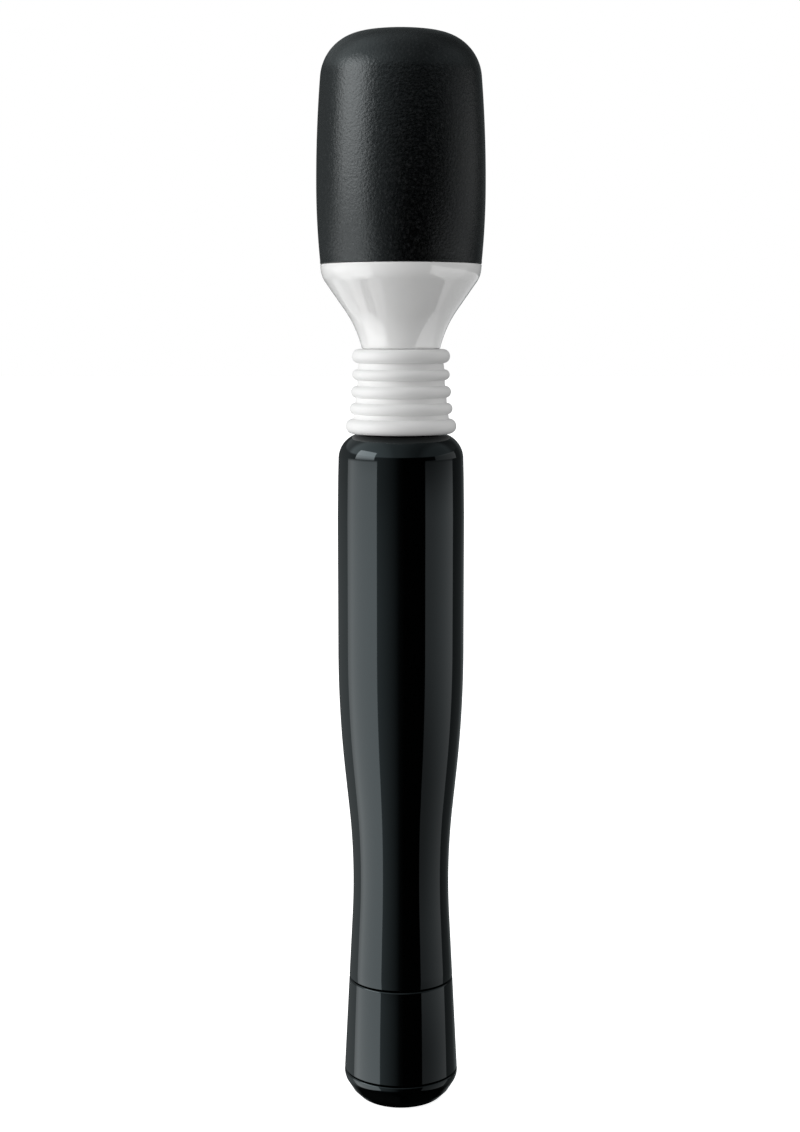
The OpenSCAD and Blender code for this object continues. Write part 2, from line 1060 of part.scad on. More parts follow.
module wiper() {
    color(brass) {
        translate([0, 0, 5.85]) {
            cylinder(h = 0.25, r = 2.4, $fn = fine_fn);
        }
        rotate([90, 0, 0]) {
            translate([0, 0, -0.8]) {
                linear_extrude(1.6) {
                    polygon([[1.8, 5.85], [6.5, 6.5], [6.5, 6.75], [1.8, 6.1]]);
                }
            }
        }
        translate([6.1, 0.8, 6.75]) {
            rotate([90, 0, 0]) {
                cylinder(h = 1.6, r = 0.35, $fn = fine_fn);
            }
        }
    }
}

handle_shell();
battery_tube();
contact_board();
top_contact();
return_strip();
neck_anchor();
cell_lower_can();
cell_lower_jacket();
cell_upper_can();
cell_upper_jacket();
neck_bellows();
neck_spring();
lead_red();
lead_black();
head_cover();
head_collar();
motor_cradle();
cradle_screws();
motor_can();
motor_magnets();
motor_end_bell();
motor_terminals();
motor_bushes();
motor_shaft();
armature();
commutator();
eccentric_weight();
weight_screw();
cap_core();
seal_ring();
retaining_clip();
spring_plate();
contact_spring();
track_disc();
cap_strip();
dial_sleeve();
dial_foot();
wiper();
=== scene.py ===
"""Looks of the battery wand massager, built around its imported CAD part. Outlines are written in
millimetres, as (radius, height); everything in the scene is in metres."""

import json
import math

import bpy
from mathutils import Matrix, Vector


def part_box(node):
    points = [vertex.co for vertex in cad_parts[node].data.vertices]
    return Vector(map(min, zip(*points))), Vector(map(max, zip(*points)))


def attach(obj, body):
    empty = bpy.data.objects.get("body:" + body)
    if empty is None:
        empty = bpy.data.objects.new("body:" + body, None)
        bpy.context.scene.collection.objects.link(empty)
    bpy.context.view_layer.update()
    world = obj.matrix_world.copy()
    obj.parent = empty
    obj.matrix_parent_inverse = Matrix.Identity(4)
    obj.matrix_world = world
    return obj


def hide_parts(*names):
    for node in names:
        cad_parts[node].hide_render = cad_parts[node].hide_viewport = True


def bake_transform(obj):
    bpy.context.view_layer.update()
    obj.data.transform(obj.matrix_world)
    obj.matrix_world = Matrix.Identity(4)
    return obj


MM = 0.001
UP = Vector((0, 0, 1))
SPAN_SOCKETS = ("From Min", "From Max", "To Min", "To Max")
AROUND = 160  # facets round a turned piece
SHARP_ANGLE = math.radians(32)

# Outline, the same driving sizes as the CAD part
HANDLE_TOP = 137.3
DIAL_SEAM = 25.6
FOOT_SEAM = 6.0
SEAM = 0.3
BARREL_R = 12.7
BARREL_Z0 = 94.0
BARREL_Z1 = 121.0
WAIST_R = 9.78
WAIST_Z = 46.2
SWELL_ANGLE = 5.94
SWELL_SWEEP = 240.0
WAIST_SWEEP = 142.0
FLARE_ANGLE = 2.95
SHOULDER_ROUND = 5.15
SHOULDER_CUT = 0.45
FOOT_FLAT_R = 7.4
FOOT_EDGE_R = 10.0
FOOT_EDGE_Z = 1.8
FOOT_BEVEL_Z = 4.55
NECK_GRIP_R = 7.55
NECK_FLEX_R = 6.7
RIB_Z = (139.1, 142.58, 145.9, 149.28, 152.97)
RIB_R = (11.08, 10.3, 10.0, 9.71, 9.76)
RIB_HALF = (1.48, 1.15, 1.2, 1.08, 1.4)
GROOVE_R = (9.45, 9.1, 8.75, 8.45)
NECK_SPLIT_Z = 147.65
ANCHOR_TOP = 141.8  # nothing below here bends with the neck
SPIGOT_FOOT = 150.2  # everything above here moves with the head
LEAD_STEP = 0.4
HEAD_SEAM = 171.0
HEAD_SEAM_HALF = 0.05
CROWN_Z = 216.0
HEAD_R = 16.66
BELLY_Z = 186.0
LOW_SWEEP = 150.0
HIGH_SWEEP = 260.0
CROWN_SWEEP = 50.0
CROWN_CORNER = 9.0
HEAD_WALL = 2.0
CORE_R = 8.5

# Insides of the turned pieces, as (radius, height), and where the cover's wall starts
HANDLE_BORE = (
    (7.6, HANDLE_TOP),
    (7.6, 134.6),
    (9.3, 134.6),
    (10.45, 133.2),
    (10.45, BARREL_Z0),
    (9.65, 74),
    (CORE_R + 0.08, 63),
)
SLEEVE_LAND_R = CORE_R + 0.06
SLEEVE_BORE = (
    (9.6, 23.8),
    (9.3, 23.8),
    (9.3, 22.6),
    (SLEEVE_LAND_R, 22.6),
    (SLEEVE_LAND_R, 21),
    (9.4, 20),
    (9.4, 13.5),
    (SLEEVE_LAND_R, 12.5),
    (SLEEVE_LAND_R, 9.4),
    (10.05, 9.4),
)
FOOT_SPIGOT_R = 10.0
FOOT_SPIGOT_TOP = 8.0
FOOT_CAVITY = ((8.9, FOOT_SPIGOT_TOP), (8.9, 3.4), (7.6, 2.2), (2.5, 2.2), (2.5, 5.8), (0, 5.8))
NECK_FOOT_STEP = ((NECK_FLEX_R, 142.8), (NECK_GRIP_R, 142))
NECK_HEAD_STEP = ((NECK_GRIP_R, 150), (NECK_FLEX_R, 149.2))
COVER_RIM_R = 14.05
COVER_RIM_TOP = 174.5
COVER_WALL_Z = 176.0
COLLAR_RIM_R = 13.95
COLLAR_SPIGOT = (
    (4.8, 150.4),
    (6.9, 150.4),
    (7.45, 151.6),
    (7.1, 151.9),
    (7.45, 153),
    (7.45, 154.37),
)
COLLAR_BORE = (
    (13.7, 173.5),
    (12.5, 173.5),
    (12.5, 168.3),
    (6.1, 157.6),
    (3.6, 155.6),
    (3.6, 153.6),
    (4.8, 153.6),
)

# Funnel of the collar: centre and radius of its arc, and the angles where it starts and ends
FUNNEL_CENTRE = (29.92, 149.1)
FUNNEL_R = 22.8
FUNNEL_ANGLES = (166.3, 146.5)
FUNNEL_FOOT = (7.72, 154.47)
LIP_R = 15.74
LIP_Z = 168.6
LIP_TOP_R = 15.95
LIP_ROUND = 5.0

# Springs: first and last coil radius, first and last height and turns, then the wire's radius
NECK_SPRING = {"path": (4.0, 4.0, 138.95, 153.05, 10), "wire": 0.45}
CONTACT_SPRING = {"path": (5.2, 3.0, 10.18, 12.8, 3.5), "wire": 0.3}

# Shrink sleeves of the two cells, in metres: foot of the lower one, distance between the two,
# length of each, and where the light band starts and ends along it
JACKET_Z = 0.0138
CELL_PITCH = 0.0506
JACKET_LENGTH = 0.0479
JACKET_BAND = (0.70, 0.86)

# Camera: place, pitch in degrees and lens, solved from the object's outline and its seams
CAMERA_X = -0.19
CAMERA_Y = -373.2
CAMERA_Z = 158.06
CAMERA_PITCH = 7.2
CAMERA_LENS = 59.34

# Studio: radiance of the room by azimuth from the front, positive to the right, and radiance of
# the ceiling by how far a ray leans to the right
PANEL_REACH = 0.75
ROOM = (
    (-180, 0.13),
    (-160, 0.12),
    (-136, 0.30),
    (-114, 0.52),
    (-44, 0.58),
    (-28, 0.38),
    (-13, 0.18),
    (-3, 0.03),
    (6, 0.0),
    (44, 0.0),
    (112, 0.10),
    (140, 0.10),
    (157, 0.20),
    (180, 0.13),
)
CEILING = (
    (-1, 1.4),
    (-0.75, 1.2),
    (-0.4, 0.85),
    (-0.2, 0.5),
    (0, 0.4),
    (0.3, 0.22),
    (0.5, 0.16),
    (0.7, 0.30),
    (1, 0.30),
)
ROOM_TINT = (0.88, 0.98, 1.0)
WHITE = (1, 1, 1)

# Fades by a ray's direction, as (from, to, level before, level after). WALL_FOOT, WALL_HEAD,
# CEILING_RISE and AMBIENT go by its height, CEILING_BACK by its depth.
WALL_FOOT = (-0.72, -0.50, 0.03, 1)
WALL_HEAD = (-0.16, -0.02, 1, 0.62)
CEILING_RISE = (0.26, 0.34, 0, 1)
CEILING_BACK = (0.26, 0.54, 1, 0.36)
AMBIENT = (-0.7, 0.4, 0.14, 0.58)

FLOOR_HALF = 6.0
FLOOR_GLOW = 0.86

# Softboxes: name, azimuths, heights, radiance, and fades as (axis, from, to, factor before,
# factor after)
FADE_BEHIND = ("Y", 0.08, 0.30, 1.0, 0.45)
RISE_BEHIND = ("Y", -0.45, 0.15, 1.0, 1.6)
SOFTBOXES = (
    ("key_left", (-113, -44), (-0.55, 0.16), 1.75, ("Z", 0.10, 0.145, 1.0, 0.35), FADE_BEHIND),
    ("key_top", (-92, -50), (0.18, 0.62), 1.0, ("Z", 0.18, 0.31, 1.6, 3.8)),
    (
        "fill_right",
        (44.5, 108),
        (-0.55, 0.16),
        0.50,
        ("Z", -0.25, 0.05, 0.52, 1.0),
        RISE_BEHIND,
        ("Z", 0.06, 0.13, 1.0, 0.25),
    ),
    ("fill_top", (66, 122), (0.16, 0.36), 0.25, RISE_BEHIND),
)
COLLAR_MIRRORED = (
    ("collar_left", (-158, -48), (-1.5, -0.05), 1.0),
    ("collar_right", (44, 162), (-0.25, 0.1), 2.5, ("Y", -0.3, 0.25, 1.0, 0.3)),
)
COLLAR_FILL = ("collar_fill", (10, 90), (-0.2, 0.5), 0.42)


# ---------------------------------------------------------------- outlines


def arc(centre, radius, start, end, steps):
    """Points on a circle's arc, angles in degrees."""
    points = []
    for i in range(steps + 1):
        a = math.radians(start + (end - start) * i / steps)
        points.append((centre[0] + radius * math.cos(a), centre[1] + radius * math.sin(a)))
    return points


def eased(corners, steps=5):
    """A polyline whose corners (r, z, rounding) are replaced by arcs of that rounding."""
    out = []
    for i, (r, z, rounding) in enumerate(corners):
        if not rounding:
            out.append((r, z))
            continue
        here = Vector((r, z))
        before = Vector(corners[i - 1][:2]) - here
        after = Vector(corners[(i + 1) % len(corners)][:2]) - here
        turn = before.angle(after)
        reach = rounding / math.tan(turn / 2)
        middle = (before.normalized() + after.normalized()).normalized()
        centre = here + middle * rounding / math.sin(turn / 2)
        first = here + before.normalized() * reach - centre
        last = here + after.normalized() * reach - centre
        a0 = math.degrees(math.atan2(first.y, first.x))
        sweep = (math.degrees(math.atan2(last.y, last.x)) - a0 + 180) % 360 - 180
        out += arc(centre, rounding, a0, a0 + sweep, steps)
    return out


def flank(z):
    """Radius of the flared flank below the waist at height z."""
    slope = math.radians(FLARE_ANGLE)
    z0 = WAIST_Z - WAIST_SWEEP * math.sin(slope)
    r0 = WAIST_R + WAIST_SWEEP * (1 - math.cos(slope))
    return r0 + (z0 - z) * math.tan(slope)


def crossing(c1, r1, c2, r2):
    """Crossing of two circles, to the right of the line from the first centre to the second."""
    c1, c2 = Vector(c1), Vector(c2)
    d = (c2 - c1).length
    u = (c2 - c1) / d
    along = (d * d + r1 * r1 - r2 * r2) / (2 * d)
    out = math.sqrt(r1 * r1 - along * along)
    return c1 + u * along + Vector((u.y, -u.x)) * out


def angle_to(c, p):
    """Direction from c to p in degrees."""
    return math.degrees(math.atan2(p[1] - c[1], p[0] - c[0]))


def handle_outline():
    """Closed section of the handle shell: rim, flank, waist, swell, barrel, shoulder and bore."""
    bottom = DIAL_SEAM + SEAM / 2
    bore = HANDLE_BORE[-1][0]
    shoulder_c = (BARREL_R - 0.2 - SHOULDER_ROUND, HANDLE_TOP + SHOULDER_CUT - SHOULDER_ROUND)
    shoulder_end = math.degrees(math.asin(1 - SHOULDER_CUT / SHOULDER_ROUND))
    waist_c = (WAIST_R + WAIST_SWEEP, WAIST_Z)
    side = arc(waist_c, WAIST_SWEEP, 180 + FLARE_ANGLE, 180 - SWELL_ANGLE, 48)
    side += arc((BARREL_R - SWELL_SWEEP, BARREL_Z0), SWELL_SWEEP, -SWELL_ANGLE, 0, 32)
    side += [(BARREL_R, BARREL_Z1), (BARREL_R - 0.1, BARREL_Z1 + 8)]
    side += arc(shoulder_c, SHOULDER_ROUND, 0, shoulder_end, 24)
    above = bottom + 2
    rim = eased([(bore, bottom, 0), (flank(bottom), bottom, 0.12), (flank(above), above, 0)])
    return rim + side + list(HANDLE_BORE)


def sleeve_outline():
    """Closed section of the dial sleeve, between its two seams."""
    z0 = FOOT_SEAM + SEAM / 2
    z1 = DIAL_SEAM - SEAM / 2
    outside = [(SLEEVE_BORE[-1][0], z0, 0), (flank(z0), z0, 0.12), (flank(z1), z1, 0.45)]
    mouth = [(SLEEVE_BORE[0][0], z1, 0.08)]
    return eased(outside + mouth + [(r, z, 0) for r, z in SLEEVE_BORE])


def foot_outline():
    """Half section of the dial foot: flat, rolled edge, bevel, upright band and the cavity."""
    z1 = FOOT_SEAM - SEAM / 2
    outside = eased(
        [
            (0, 0, 0),
            (FOOT_FLAT_R + 0.8, 0, 1.9),
            (FOOT_EDGE_R, FOOT_EDGE_Z, 0.3),
            (flank(FOOT_BEVEL_Z), FOOT_BEVEL_Z, 3.4),
            (flank(z1), z1, 0.45),
            (FOOT_SPIGOT_R, z1, 0.05),
            (FOOT_SPIGOT_R, FOOT_SPIGOT_TOP, 0.2),
        ],
        9,
    )
    return outside + list(FOOT_CAVITY)


def cover_line(inset, z0, steps):
    """Outline of the head cover from height z0 to the crown, set in by a wall's thickness."""
    low = (HEAD_R - LOW_SWEEP, BELLY_Z)
    high = (HEAD_R - HIGH_SWEEP, BELLY_Z)
    crown = (0, CROWN_Z - CROWN_SWEEP)
    corner = crossing(crown, CROWN_SWEEP - CROWN_CORNER, high, HIGH_SWEEP - CROWN_CORNER)
    a_low = math.degrees(math.asin((z0 - BELLY_Z) / (LOW_SWEEP - inset)))
    a_side = angle_to(high, corner)
    a_top = angle_to(crown, corner)
    line = arc(low, LOW_SWEEP - inset, a_low, 0, steps)
    line += arc(high, HIGH_SWEEP - inset, 0, a_side, steps)[1:]
    line += arc(corner, CROWN_CORNER - inset, a_side, a_top, 2 * steps)[1:]
    line += arc(crown, CROWN_SWEEP - inset, a_top, 90, steps)[1:]
    return line


def cover_outline():
    """Closed section of the head cover: rim, outside, and the inside back down to the rim."""
    z0 = HEAD_SEAM + HEAD_SEAM_HALF
    outer = cover_line(0, z0 + 0.6, 20)
    rim = eased([(COVER_RIM_R, z0, 0), (outer[0][0], z0, 0.15), (*outer[1], 0)])[:-1]
    inner = cover_line(HEAD_WALL, COVER_WALL_Z, 8)
    return rim + outer + inner[::-1] + [(COVER_RIM_R, COVER_RIM_TOP)]


def collar_outline():
    """Closed section of the head collar: spigot, funnel, lip, rim and bore."""
    top = HEAD_SEAM - HEAD_SEAM_HALF
    funnel = arc(FUNNEL_CENTRE, FUNNEL_R, *FUNNEL_ANGLES, 24)
    corners = [(*funnel[-1], 0), (LIP_R, LIP_Z, LIP_ROUND), (LIP_TOP_R, top, 0.15)]
    lip = eased(corners + [(COLLAR_RIM_R, top, 0)])[1:-1]
    rim = [(COLLAR_RIM_R, top), (COLLAR_RIM_R, 173.2)]
    return list(COLLAR_SPIGOT) + [FUNNEL_FOOT] + funnel + lip + rim + list(COLLAR_BORE)


def rib(i):
    """Rounded section of neck rib i, from the groove below it to the groove above it."""
    r, z, half = RIB_R[i], RIB_Z[i], RIB_HALF[i]

    def leave(groove):
        return math.degrees(math.acos(min(1, max(0, (groove - r + half) / half))))

    below = 90 if i == 0 else leave(GROOVE_R[i - 1])
    above = 90 if i == 4 else leave(GROOVE_R[i])
    return arc((r - half, z), half, -below, above, 16)


def neck_outline(ribs, z0, z1):
    """Closed section of the neck between heights z0 and z1 that holds these ribs."""
    upper = z0 == NECK_SPLIT_Z
    line = [(NECK_FLEX_R, z0), (GROOVE_R[2], z0)] if upper else [(NECK_GRIP_R, z0)]
    for i in ribs:
        line += rib(i)
    if upper:
        return line + [(NECK_GRIP_R, z1), *NECK_HEAD_STEP]
    return line + [(GROOVE_R[2], z1), (NECK_FLEX_R, z1), *NECK_FOOT_STEP]


# ---------------------------------------------------------------- meshes


def lathe(name, outline):
    """Closed solid of revolution about Z from a closed outline of (radius, height)."""
    verts, faces, rings = [], [], []
    for r, z in outline:
        count = 1 if r < 1e-6 else AROUND
        rings.append((len(verts), count))
        for k in range(count):
            a = 2 * math.pi * k / AROUND
            verts.append((r * math.cos(a) * MM, r * math.sin(a) * MM, z * MM))
    for i, (low, low_n) in enumerate(rings):
        high, high_n = rings[(i + 1) % len(rings)]
        for k in range(AROUND):
            n = (k + 1) % AROUND
            face = [low + k % low_n, low + n % low_n, high + n % high_n, high + k % high_n]
            face = list(dict.fromkeys(face))
            if len(face) > 2:
                faces.append(face)
    mesh = bpy.data.meshes.new(name)
    mesh.from_pydata(verts, [], faces)
    mesh.validate()
    return link(name, mesh)


def tube(name, path, radius, sides=12):
    """Round wire along a list of points, its ends closed."""
    verts, faces = [], []
    for i, p in enumerate(path):
        ahead = Vector(path[min(i + 1, len(path) - 1)]) - Vector(path[max(i - 1, 0)])
        side = ahead.cross(UP)
        side = side.normalized() if side.length > 1e-9 else Vector((1, 0, 0))
        up = side.cross(ahead).normalized()
        for k in range(sides):
            a = 2 * math.pi * k / sides
            verts.append(Vector(p) + radius * (side * math.cos(a) + up * math.sin(a)))
    for i in range(len(path) - 1):
        for k in range(sides):
            n = (k + 1) % sides
            faces.append((i * sides + k, i * sides + n, (i + 1) * sides + n, (i + 1) * sides + k))
    last = (len(path) - 1) * sides
    faces += [tuple(range(sides))[::-1], tuple(last + k for k in range(sides))]
    mesh = bpy.data.meshes.new(name)
    mesh.from_pydata([v * MM for v in verts], [], faces)
    return link(name, mesh)


def helix(r0, r1, z0, z1, turns, steps=40):
    """Points of a coil from radius r0 at height z0 to radius r1 at height z1."""
    total = int(turns * steps)
    path = []
    for i in range(total + 1):
        t = i / total
        a, r = 2 * math.pi * turns * t, r0 + (r1 - r0) * t
        path.append((r * math.cos(a), r * math.sin(a), z0 + (z1 - z0) * t))
    return path


def link(name, mesh):
    """A smooth-shaded object of this mesh, with its real edges kept sharp."""
    obj = bpy.data.objects.new(name, mesh)
    bpy.context.scene.collection.objects.link(obj)
    bpy.context.view_layer.objects.active = obj
    mesh.shade_smooth()
    mesh.set_sharp_from_angle(angle=SHARP_ANGLE)
    return obj


# ---------------------------------------------------------------- materials


class Nodes:
    """Short hand for building one material's node tree around a Principled shader."""

    def __init__(self, name):
        self.material = bpy.data.materials.new(name)
        self.material.use_nodes = True
        self.tree = self.material.node_tree
        self.shader = self.tree.nodes["Principled BSDF"]
        self.coord = self.add("ShaderNodeTexCoord").outputs["Object"]

    def add(self, kind, **values):
        node = self.tree.nodes.new(kind)
        for key, value in values.items():
            setattr(node, key, value)
        return node

    def wire(self, source, target):
        self.tree.links.new(source, target)

    def put(self, **values):
        """Set the Principled shader's own sockets; an underscore stands for a space."""
        for key, value in values.items():
            self.shader.inputs[key.replace("_", " ")].default_value = value

    def noise(self, scale, detail=2.0, stretch=(1, 1, 1), roughness=0.5):
        """Noise over the object, scale features to the metre."""
        mapping = self.add("ShaderNodeMapping")
        mapping.inputs["Scale"].default_value = stretch
        self.wire(self.coord, mapping.inputs["Vector"])
        node = self.add("ShaderNodeTexNoise")
        node.inputs["Scale"].default_value = scale
        node.inputs["Detail"].default_value = detail
        node.inputs["Roughness"].default_value = roughness
        self.wire(mapping.outputs["Vector"], node.inputs["Vector"])
        return node.outputs["Fac"]

    def remap(self, source, low, high, span=(0.3, 0.7)):
        """Source values over span turned into values from low to high."""
        node = self.add("ShaderNodeMapRange")
        for key, value in zip(SPAN_SOCKETS, (*span, low, high)):
            node.inputs[key].default_value = value
        self.wire(source, node.inputs["Value"])
        return node.outputs["Result"]

    def ramp(self, source, stops):
        """Colour by source value, from stops of (position, colour) in order."""
        node = self.add("ShaderNodeValToRGB")
        elements = node.color_ramp.elements
        elements[0].position, elements[0].color = stops[0][0], (*stops[0][1], 1)
        elements[1].position, elements[1].color = stops[-1][0], (*stops[-1][1], 1)
        for position, colour in stops[1:-1]:
            elements.new(position).color = (*colour, 1)
        self.wire(source, node.inputs["Fac"])
        return node.outputs["Color"]

    def bumps(self, *layers):
        """Stack bump layers (height source, depth in metres) into the shader's normal."""
        normal = None
        for height, depth in layers:
            node = self.add("ShaderNodeBump")
            node.inputs["Strength"].default_value = 1.0
            node.inputs["Distance"].default_value = depth
            self.wire(height, node.inputs["Height"])
            if normal:
                self.wire(normal, node.inputs["Normal"])
            normal = node.outputs["Normal"]
        self.wire(normal, self.shader.inputs["Normal"])


def shade(colour, factor):
    """A colour made lighter or darker by a factor."""
    return tuple(c * factor for c in colour)


def moulded(name, colour, rough, grain, depth, mottle=0.12):
    """Moulded plastic or rubber: faint mottling, uneven gloss and a surface grain.
    grain is the grain's frequency per metre, depth its height in metres."""
    swing = 0.04
    n = Nodes(name)
    cloud = n.noise(140, 3)
    n.wire(
        n.ramp(cloud, [(0.35, shade(colour, 1 - mottle)), (0.65, shade(colour, 1 + mottle))]),
        n.shader.inputs["Base Color"],
    )
    smear = n.noise(320, 4, (1, 1, 0.35))
    n.wire(n.remap(smear, rough - swing, rough + swing), n.shader.inputs["Roughness"])
    n.bumps((n.noise(grain, 2), depth))
    return n.material


def gloss_black():
    """Polished black plastic with a trace of orange peel and fine polishing haze."""
    n = Nodes("gloss_black")
    cloud = n.noise(120, 2)
    n.wire(
        n.ramp(cloud, [(0.3, (0.0003, 0.0004, 0.0004)), (0.7, (0.0005, 0.0006, 0.0006))]),
        n.shader.inputs["Base Color"],
    )
    haze = n.noise(520, 5, (1, 1, 0.2), 0.6)
    n.wire(n.remap(haze, 0.035, 0.06), n.shader.inputs["Roughness"])
    n.bumps((n.noise(160, 2), 3e-6))
    n.put(Specular_IOR_Level=0.5, Specular_Tint=(0.83, 0.955, 1.0, 1), IOR=1.5)
    return n.material


def soft_touch():
    """Soft-touch coating: a fine bumped grain over black, with painted glints, light specks in the
    base colour that stand in for the grain's sparkle.
    """
    n = Nodes("soft_black")
    speck = n.noise(1900, 3, roughness=0.6)
    fine = n.noise(4600, 2, roughness=0.6)
    # Painted glints: sparse light specks in the base colour stand in for the sparkle of the
    # coating's grain in the highlight.
    black, painted_glint = (0.0005, 0.0005, 0.0006), (0.014, 0.0145, 0.015)
    glint_painted_colour = n.ramp(speck, [(0.42, black), (0.56, shade(painted_glint, 0.25)), (0.72, painted_glint)])
    n.wire(glint_painted_colour, n.shader.inputs["Base Color"])
    n.wire(n.remap(fine, 0.17, 0.30), n.shader.inputs["Roughness"])
    n.bumps((speck, 8e-5), (fine, 1.6e-5))
    n.put(Specular_IOR_Level=0.5, Specular_Tint=(0.93, 0.985, 1.0, 1), IOR=1.5)
    return n.material


def gloss_white():
    """Polished white plastic."""
    n = Nodes("white_gloss")
    cloud = n.noise(110, 3)
    n.wire(
        n.ramp(cloud, [(0.3, (0.66, 0.66, 0.655)), (0.7, (0.70, 0.70, 0.695))]),
        n.shader.inputs["Base Color"],
    )
    n.wire(n.remap(n.noise(420, 4), 0.03, 0.06), n.shader.inputs["Roughness"])
    n.bumps((n.noise(240, 2), 4e-6))
    n.put(
        Subsurface_Weight=0.08,
        Subsurface_Radius=(1.0, 1.0, 1.0),
        Subsurface_Scale=0.0006,
        Specular_IOR_Level=0.5,
    )
    return n.material


def neck_elastomer():
    """Satin white elastomer: slightly translucent, with a fine moulded grain."""
    n = Nodes("neck_soft")
    cloud = n.noise(150, 4)
    n.wire(
        n.ramp(cloud, [(0.3, (0.82, 0.82, 0.815)), (0.7, (0.86, 0.86, 0.855))]),
        n.shader.inputs["Base Color"],
    )
    n.wire(n.remap(n.noise(700, 4), 0.42, 0.54), n.shader.inputs["Roughness"])
    n.bumps((n.noise(3200, 2), 6e-6), (n.noise(420, 2), 8e-6))
    n.put(
        Subsurface_Weight=0.05,
        Subsurface_Radius=(1.0, 1.0, 1.0),
        Subsurface_Scale=0.0004,
        Specular_IOR_Level=0.45,
    )
    return n.material


def metal(name, colour, rough, brushed=(1, 1, 0.06), depth=2e-6):
    """Worked metal: drawn or rolled streaks, tarnish and uneven gloss."""
    n = Nodes(name)
    tarnish = n.noise(260, 4)
    n.wire(
        n.ramp(tarnish, [(0.3, shade(colour, 0.82)), (0.7, shade(colour, 1.06))]),
        n.shader.inputs["Base Color"],
    )
    streak = n.noise(2600, 4, brushed)
    n.wire(n.remap(streak, rough - 0.07, rough + 0.09), n.shader.inputs["Roughness"])
    n.bumps((streak, depth))
    n.put(Metallic=1.0)
    return n.material


def cell_jacket():
    """Shrink sleeve of a dry cell: a dark body with a lighter band near the plus end."""
    n = Nodes("jacket")
    split = n.add("ShaderNodeSeparateXYZ")
    n.wire(n.coord, split.inputs["Vector"])
    shift = n.add("ShaderNodeMath", operation="SUBTRACT")
    shift.inputs[1].default_value = JACKET_Z
    n.wire(split.outputs["Z"], shift.inputs[0])
    wrap = n.add("ShaderNodeMath", operation="WRAP")
    wrap.inputs[1].default_value = CELL_PITCH
    wrap.inputs[2].default_value = 0.0
    n.wire(shift.outputs[0], wrap.inputs[0])
    along = n.remap(wrap.outputs[0], 0, 1, (0, JACKET_LENGTH))
    blue, band = (0.018, 0.045, 0.16), (0.55, 0.36, 0.12)
    start, end = JACKET_BAND
    stops = [(0.0, blue), (start, blue), (start + 0.002, band)]
    stops += [(end, band), (end + 0.002, blue), (1.0, blue)]
    n.wire(n.ramp(along, stops), n.shader.inputs["Base Color"])
    n.wire(n.remap(n.noise(500, 3), 0.22, 0.34), n.shader.inputs["Roughness"])
    n.bumps((n.noise(300, 2), 6e-6))
    return n.material


def all_materials():
    """One material for each slot in the record."""
    black = (0.012, 0.012, 0.013)
    steel = (0.62, 0.63, 0.65)
    return {
        "gloss_black": gloss_black(),
        "soft_black": soft_touch(),
        "white_gloss": gloss_white(),
        "neck_soft": neck_elastomer(),
        "inner_black": moulded("inner_black", black, 0.38, 2400, 6e-6),
        "board": moulded("board", (0.02, 0.10, 0.05), 0.32, 900, 5e-6, 0.2),
        "jacket": cell_jacket(),
        "lead_red": moulded("lead_red", (0.42, 0.012, 0.01), 0.4, 1200, 4e-6),
        "lead_black": moulded("lead_black", black, 0.42, 1200, 4e-6),
        "bell_white": moulded("bell_white", (0.66, 0.66, 0.64), 0.45, 1800, 5e-6),
        "seal": moulded("seal", (0.008, 0.008, 0.008), 0.5, 2200, 4e-6),
        "brass": metal("brass", (0.74, 0.50, 0.20), 0.28),
        "steel": metal("steel", steel, 0.26),
        "cell_can": metal("cell_can", steel, 0.22),
        "spring": metal("spring", (0.52, 0.53, 0.55), 0.3),
        "magnet": metal("magnet", (0.06, 0.06, 0.065), 0.62, (1, 1, 1), 2e-5),
        "copper": metal("copper", (0.62, 0.26, 0.12), 0.34, (1, 1, 0.2)),
        "blued": metal("blued", (0.03, 0.03, 0.034), 0.36),
    }


# ---------------------------------------------------------------- pieces


def turned_piece(materials, node, outline, body, slot):
    """A smooth turned piece that stands for one CAD node."""
    piece = lathe("look_" + node, outline)
    piece.data.materials.append(materials[slot])
    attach(piece, body)
    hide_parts(node)
    return piece


def neck_pieces(materials):
    """The elastomer neck in place of the CAD's bellows: a lower half with three ribs and an upper
    half with two."""
    z0, z1 = HANDLE_TOP + SEAM, RIB_Z[4] + RIB_HALF[4]
    lower = lathe("look_neck_lower", neck_outline((0, 1, 2), z0, NECK_SPLIT_Z))
    upper = lathe("look_neck_upper", neck_outline((3, 4), NECK_SPLIT_Z, z1))
    for piece in (lower, upper):
        piece.data.materials.append(materials["neck_soft"])
    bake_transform(lower)
    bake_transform(upper)
    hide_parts("neck_bellows")
    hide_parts("neck_bellows")


def bending_wire(materials, node, path, wire, slot):
    """A wire through the neck in two halves that meet at the neck's split, in place of the CAD
    node."""
    joined = next(i for i, p in enumerate(path) if p[2] >= NECK_SPLIT_Z)
    halves = (
        ("_lower", path[: joined + 1], ("handle", "neck"), ANCHOR_TOP, NECK_SPLIT_Z),
        ("_upper", path[joined:], ("neck", "head"), NECK_SPLIT_Z, SPIGOT_FOOT),
    )
    for suffix, half, bodies, z0, z1 in halves:
        piece = tube("look_" + node + suffix, half, wire)
        piece.data.materials.append(materials[slot])
        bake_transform(piece)
        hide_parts(node)


